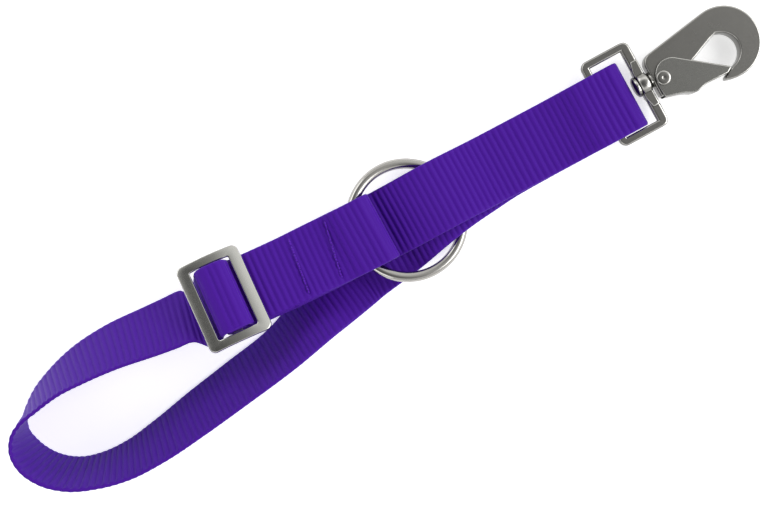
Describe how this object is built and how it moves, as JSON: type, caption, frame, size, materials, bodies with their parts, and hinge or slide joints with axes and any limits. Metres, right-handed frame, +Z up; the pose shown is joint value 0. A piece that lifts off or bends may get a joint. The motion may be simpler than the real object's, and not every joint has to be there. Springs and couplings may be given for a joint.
{
  "type": "adjustable webbing tie strap",
  "caption": "Flat webbing tie strap with a sewn-in O ring, a slider that sets an adjustable loop, and a square-eye swivel trigger snap.",
  "frame": {"origin": "centre of the bounding box in plan, on the surface the strap lies on", "axes": "+X along the strap from the loop towards the snap's hook, +Y to the side the snap's back lies on, +Z up"},
  "size_m": [0.3054, 0.058, 0.0254],
  "materials": {
    "webbing": "ribbed nylon weave",
    "thread": "twisted thread",
    "nickel": "bright nickel plate over casting",
    "ring_wire": "polished nickel plate over wire",
    "spring_steel": "bare spring wire"
  },
  "bodies": {
    "strap": {"webbing": "webbing", "slider": "nickel", "ring_seam_outer": "thread", "ring_seam_inner": "thread", "slider_seam_outer": "thread", "slider_seam_inner": "thread"},
    "ring": {"o_ring": "ring_wire"},
    "eye": {"snap_eye": "nickel"},
    "hook": {"snap_hook": "nickel", "gate_rivet": "nickel", "gate_spring": "spring_steel"},
    "gate": {"gate": "nickel"}
  },
  "joints": [
    {"name": "ring_swing", "type": "hinge", "parent": "strap", "child": "ring", "pos_m": [-0.00799, 0.00569, 0.00892], "axis": [0, 1, 0], "range_deg": [0, 12]},
    {"name": "eye_pitch", "type": "hinge", "parent": "strap", "child": "eye", "pos_m": [0.09125, 0.00819, 0.005], "axis": [0, 1, 0], "range_deg": [-135, 105]},
    {"name": "swivel", "type": "hinge", "parent": "eye", "child": "hook", "pos_m": [0.10695, 0.00819, 0.005], "axis": [1, 0, 0], "continuous": true},
    {"name": "gate_hinge", "type": "hinge", "parent": "hook", "child": "gate", "pos_m": [0.11385, 0.00659, 0.005], "axis": [0, 0, 1], "range_deg": [0, 28], "stiffness_Nm_per_rad": 0.06, "springref_deg": -34.38, "deforming": ["gate_spring"]}
  ]
}
